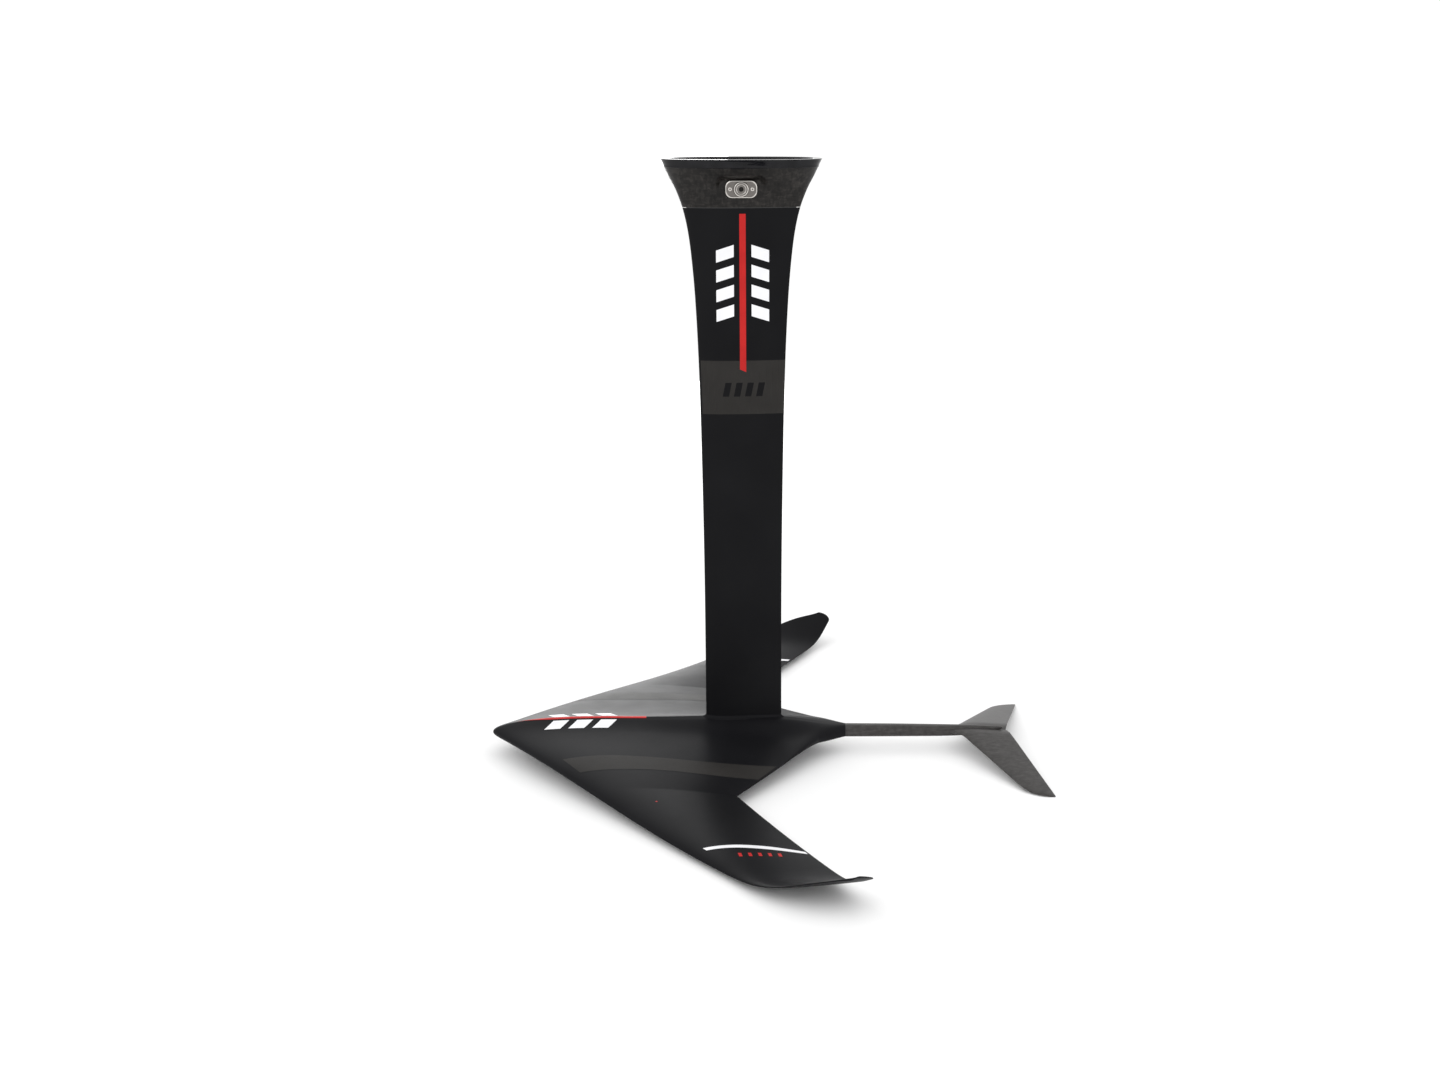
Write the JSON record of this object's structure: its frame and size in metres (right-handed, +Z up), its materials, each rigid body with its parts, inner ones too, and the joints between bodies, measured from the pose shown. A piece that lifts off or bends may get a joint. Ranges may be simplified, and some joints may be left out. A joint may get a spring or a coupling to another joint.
{
  "type": "hydrofoil",
  "caption": "Board hydrofoil: carbon mast with a flared, bolt-through head, swept front wing with upturned tips, and a tail boom with stabiliser.",
  "frame": {"origin": "centre of the mast head's top face, where the board adapter sits", "axes": "+Z up along the mast towards the board, +X aft (from the front wing towards the stabiliser), +Y across, along the span"},
  "size_m": [0.8263, 1.071, 0.8864],
  "materials": {
    "bond_line": "matt adhesive",
    "foam": "closed-cell foam",
    "forged_carbon": "chopped carbon under satin clear coat",
    "laminate": "raw carbon laminate",
    "rim_gloss": "polished clear coat over carbon",
    "satin_black": "satin paint over carbon",
    "seal": "matt",
    "steel": "fine satin",
    "tail_carbon": "raw carbon, sanded"
  },
  "bodies": {
    "foil": {"head_rim": "rim_gloss", "head_collar": "forged_carbon", "collar_seam": "bond_line", "lock_plate_near": "steel", "lock_plate_far": "steel", "lock_pins": "steel", "mast_skin": "satin_black", "mast_core_front": "foam", "mast_core_rear": "foam", "mast_web": "laminate", "mast_foot": "laminate", "mast_inserts": "steel", "front_wing": "satin_black", "wing_keel": "laminate", "wing_web_near": "laminate", "wing_web_far": "laminate", "wing_core_near": "foam", "wing_core_far": "foam", "mast_screws": "steel", "mast_cups": "steel", "tail_unit": "tail_carbon", "tail_inserts": "steel", "tail_sleeve": "laminate", "joint_seal": "seal", "tail_screws": "steel", "tail_cups": "steel"},
    "nut": {"barrel_nut": "steel"}
  },
  "joints": [
    {"name": "barrel_nut_turn", "type": "hinge", "parent": "foil", "child": "nut", "pos_m": [0, 0, -0.0415], "axis": [0, 1, 0], "continuous": true}
  ]
}
